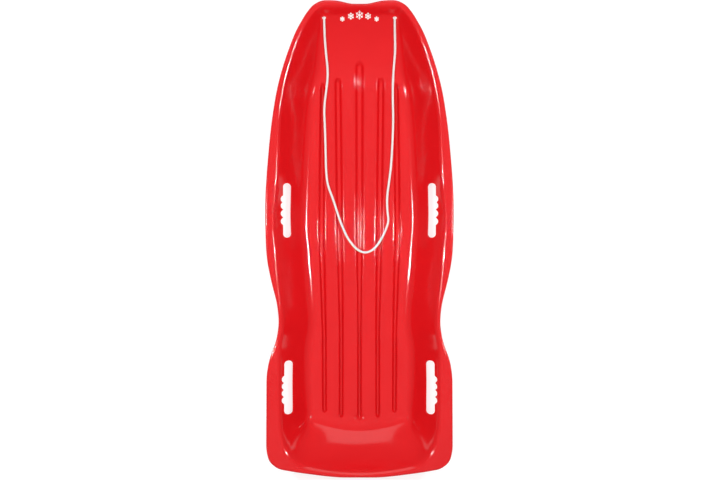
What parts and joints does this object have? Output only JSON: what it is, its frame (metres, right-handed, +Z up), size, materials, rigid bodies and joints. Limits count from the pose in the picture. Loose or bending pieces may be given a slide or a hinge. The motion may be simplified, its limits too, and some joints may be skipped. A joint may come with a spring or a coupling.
{
  "type": "moulded toboggan",
  "caption": "Long one-piece moulded plastic snow toboggan with runners, turned-down rim, hand holes and a tow rope knotted under the nose.",
  "frame": {"origin": "under the middle of the hull, in the plane that the runners rest on", "axes": "+Y to the nose, +X to the rider's right, +Z up"},
  "size_m": [0.484, 1.219, 0.1243],
  "materials": {
    "hull_plastic": "glossy moulded polyethylene",
    "rope": "braided polypropylene cord"
  },
  "bodies": {
    "hull": {"hull": "hull_plastic", "rope_knot_left": "rope", "rope_knot_right": "rope"},
    "rope_lead": {"rope_lead_left": "rope", "rope_lead_right": "rope"},
    "rope_loop": {"rope_loop": "rope"}
  },
  "joints": [
    {"name": "rope_swing", "type": "hinge", "parent": "hull", "child": "rope_lead", "pos_m": [0, 0.567, 0.09016], "axis": [-1, 0, 0], "range_deg": [0, 150]},
    {"name": "rope_straighten", "type": "hinge", "parent": "rope_lead", "child": "rope_loop", "pos_m": [0, 0.46, 0.03488], "axis": [-1, 0, 0], "range_deg": [-25, 0]}
  ],
  "couplings": [
    {"joint": "rope_straighten", "follows": "rope_swing", "ratio": -0.16667}
  ]
}
